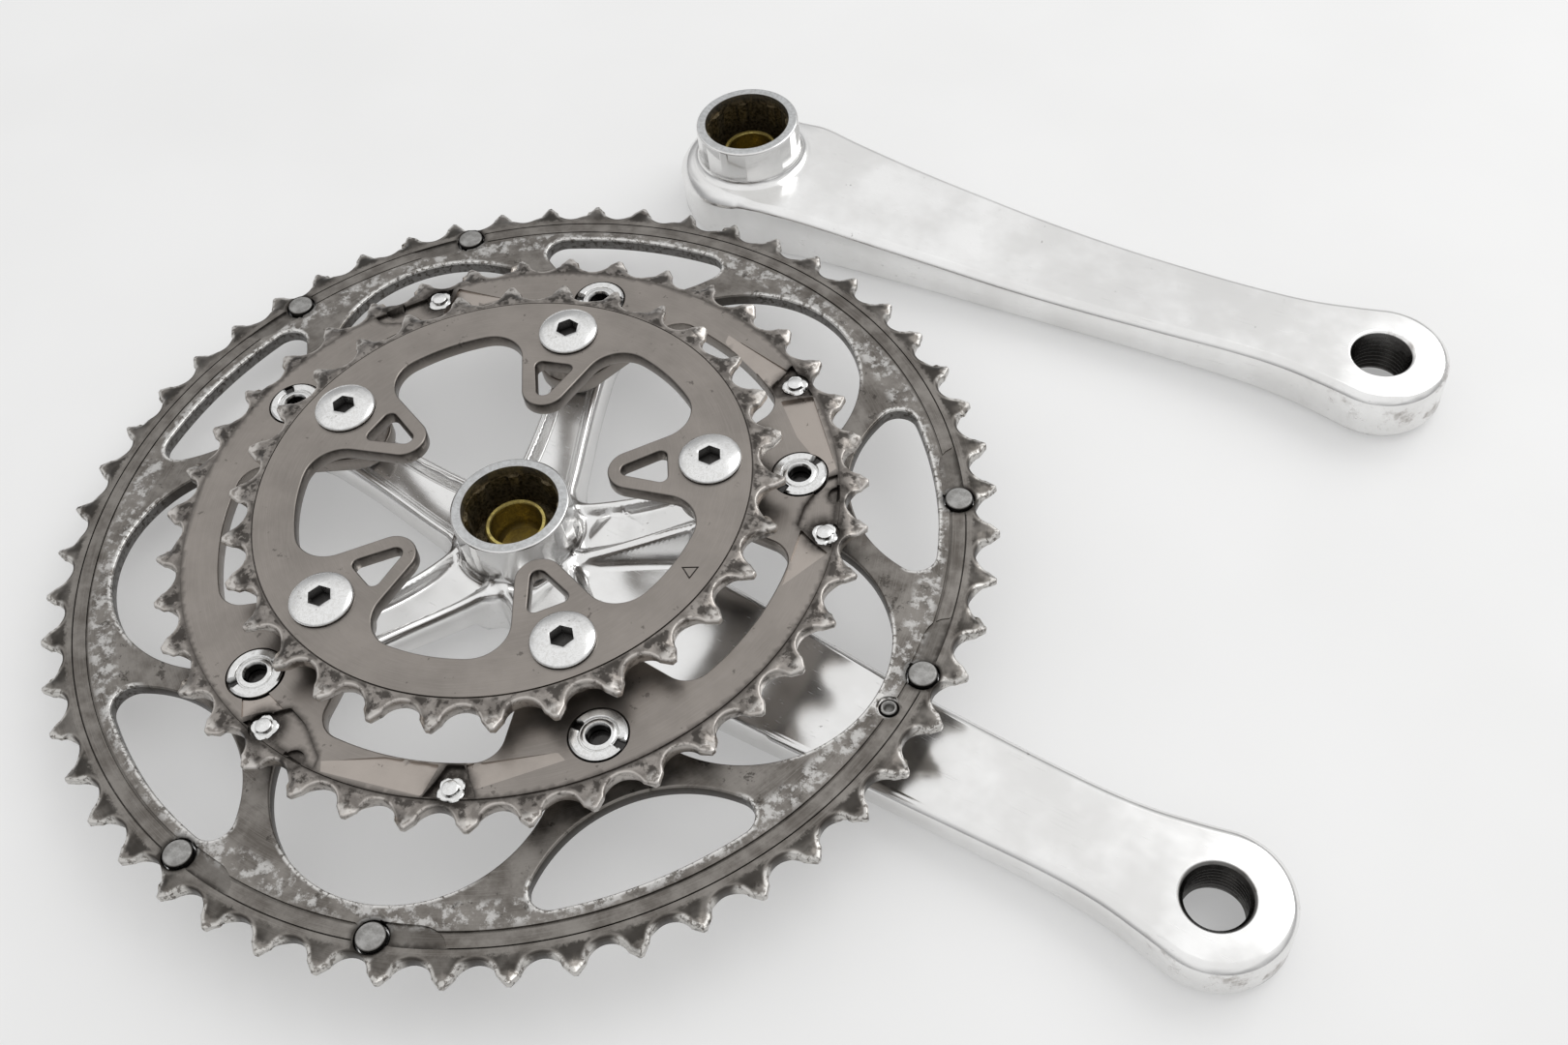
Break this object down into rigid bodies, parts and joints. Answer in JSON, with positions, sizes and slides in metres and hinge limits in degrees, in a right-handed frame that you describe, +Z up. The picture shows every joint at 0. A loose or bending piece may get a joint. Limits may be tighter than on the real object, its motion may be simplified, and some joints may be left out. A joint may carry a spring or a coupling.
{
  "type": "triple bicycle crankset",
  "caption": "Triple road-bicycle crankset in two loose halves: a drive-side crank with spider and chainrings, and a left crank arm, both lying on their outer faces.",
  "frame": {"origin": "centre of the whole object's footprint, on the surface that it lies on", "axes": "+Z up; +X along the drive-side crank arm from its hub to its pedal hole; +Y from the drive side to the loose left arm"},
  "size_m": [0.2951, 0.2718, 0.0365],
  "materials": {
    "polished_aluminium": "polished, finely scratched",
    "worn_anodised_ring": "worn grey anodising with bright scuffs and grime",
    "taupe_anodised_ring": "satin taupe anodising",
    "plated_steel": "bright plated",
    "pin_steel": "worn bare steel",
    "yellow_passivated_bolt": "yellow passivated, greasy",
    "black_cap": "black anodised"
  },
  "bodies": {
    "drive_side": {"right_crank_arm": "polished_aluminium", "outer_chainring": "worn_anodised_ring", "middle_chainring": "taupe_anodised_ring", "inner_chainring": "taupe_anodised_ring", "chainring_bolt_1": "plated_steel", "chainring_bolt_2": "plated_steel", "chainring_bolt_3": "plated_steel", "chainring_bolt_4": "plated_steel", "chainring_bolt_5": "plated_steel", "chainring_nut_1": "plated_steel", "chainring_nut_2": "plated_steel", "chainring_nut_3": "plated_steel", "chainring_nut_4": "plated_steel", "chainring_nut_5": "plated_steel", "inner_ring_screw_1": "plated_steel", "inner_ring_screw_2": "plated_steel", "inner_ring_screw_3": "plated_steel", "inner_ring_screw_4": "plated_steel", "inner_ring_screw_5": "plated_steel", "outer_ring_pin_1": "pin_steel", "outer_ring_pin_2": "pin_steel", "outer_ring_pin_3": "pin_steel", "outer_ring_pin_4": "pin_steel", "outer_ring_pin_5": "pin_steel", "outer_ring_pin_6": "pin_steel", "middle_ring_pin_1": "plated_steel", "middle_ring_pin_2": "plated_steel", "middle_ring_pin_3": "plated_steel", "middle_ring_pin_4": "plated_steel", "middle_ring_pin_5": "plated_steel", "chain_drop_pin": "pin_steel", "right_bolt_washer": "plated_steel", "right_extractor_cap": "black_cap"},
    "left_arm": {"left_crank_arm": "polished_aluminium", "left_bolt_washer": "plated_steel", "left_extractor_cap": "black_cap"},
    "drive_bolt": {"right_crank_bolt": "yellow_passivated_bolt"},
    "left_bolt": {"left_crank_bolt": "yellow_passivated_bolt"}
  },
  "joints": [
    {"name": "left_arm_lift", "type": "slide", "parent": "drive_side", "child": "left_arm", "axis": [0, 0, 1], "range_m": [0, 0.15]},
    {"name": "drive_bolt_turn", "type": "hinge", "parent": "drive_side", "child": "drive_bolt", "pos_m": [-0.03877, -0.0275, 0.00599], "axis": [-0.0456, 0, 0.999], "continuous": true},
    {"name": "left_bolt_turn", "type": "hinge", "parent": "left_arm", "child": "left_bolt", "pos_m": [-0.06067, 0.10437, 0.00599], "axis": [-0.0454, -0.0042, 0.999], "continuous": true}
  ]
}
